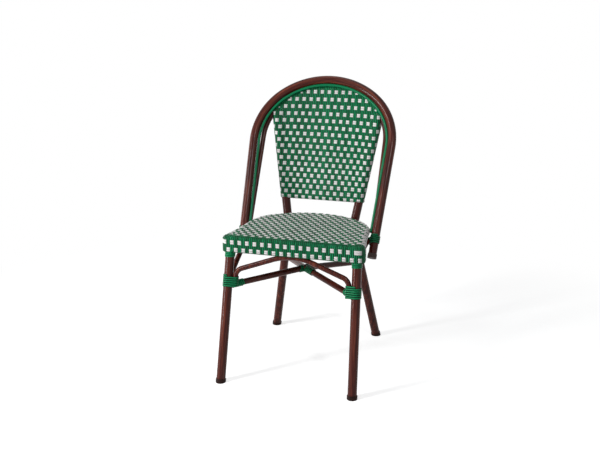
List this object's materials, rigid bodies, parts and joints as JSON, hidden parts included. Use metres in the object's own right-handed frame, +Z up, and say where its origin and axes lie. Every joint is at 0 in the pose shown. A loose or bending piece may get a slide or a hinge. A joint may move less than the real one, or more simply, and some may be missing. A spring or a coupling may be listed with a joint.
{
  "type": "stacking chair",
  "caption": "Bistro stacking chair: dark brown tube frame, hooped back, seat, skirt and back panel woven in green strands with rows of white squares.",
  "frame": {"origin": "On the floor, in the middle of the chair's overall footprint.", "axes": "+Z up, the chair faces -Y (its front feet are at -Y and its back leans towards +Y), +X is to the right as seen from the front. The chair is mirror symmetric about X = 0, apart from the two lower stretchers crossing."},
  "size_m": [0.4844, 0.5568, 0.88],
  "materials": {
    "painted_tube": "dark reddish brown paint with a fine lengthwise grain, satin gloss",
    "cap": "matte dark brown",
    "woven_strand": "deep green and off-white strands woven together, satin",
    "binding": "deep green strand, satin"
  },
  "bodies": {
    "root": {"front_leg_left": "painted_tube", "front_leg_right": "painted_tube", "rear_leg_left": "painted_tube", "rear_leg_right": "painted_tube", "outer_hoop": "painted_tube", "inner_hoop": "painted_tube", "bow_brace": "painted_tube", "side_brace_left": "painted_tube", "side_brace_right": "painted_tube", "lower_stretcher_long": "painted_tube", "lower_stretcher_front_half": "painted_tube", "lower_stretcher_rear_half": "painted_tube", "seat_frame_ring": "painted_tube", "apron_lower_rail": "painted_tube", "rear_cross_rail": "painted_tube", "back_lower_rail": "painted_tube", "hoop_spacer_left": "painted_tube", "hoop_spacer_right": "painted_tube", "front_foot_cap_left": "cap", "front_foot_cap_right": "cap", "rear_foot_cap_left": "cap", "rear_foot_cap_right": "cap", "hoop_end_plug_left": "cap", "hoop_end_plug_right": "cap", "seat_weave": "woven_strand", "apron_weave": "woven_strand", "back_weave": "woven_strand", "hoop_cord": "binding", "leg_top_binding_left": "binding", "leg_top_binding_right": "binding", "leg_joint_binding_left": "binding", "leg_joint_binding_right": "binding", "hoop_end_binding_left": "binding", "hoop_end_binding_right": "binding", "centre_binding": "binding"}
  },
  "joints": []
}
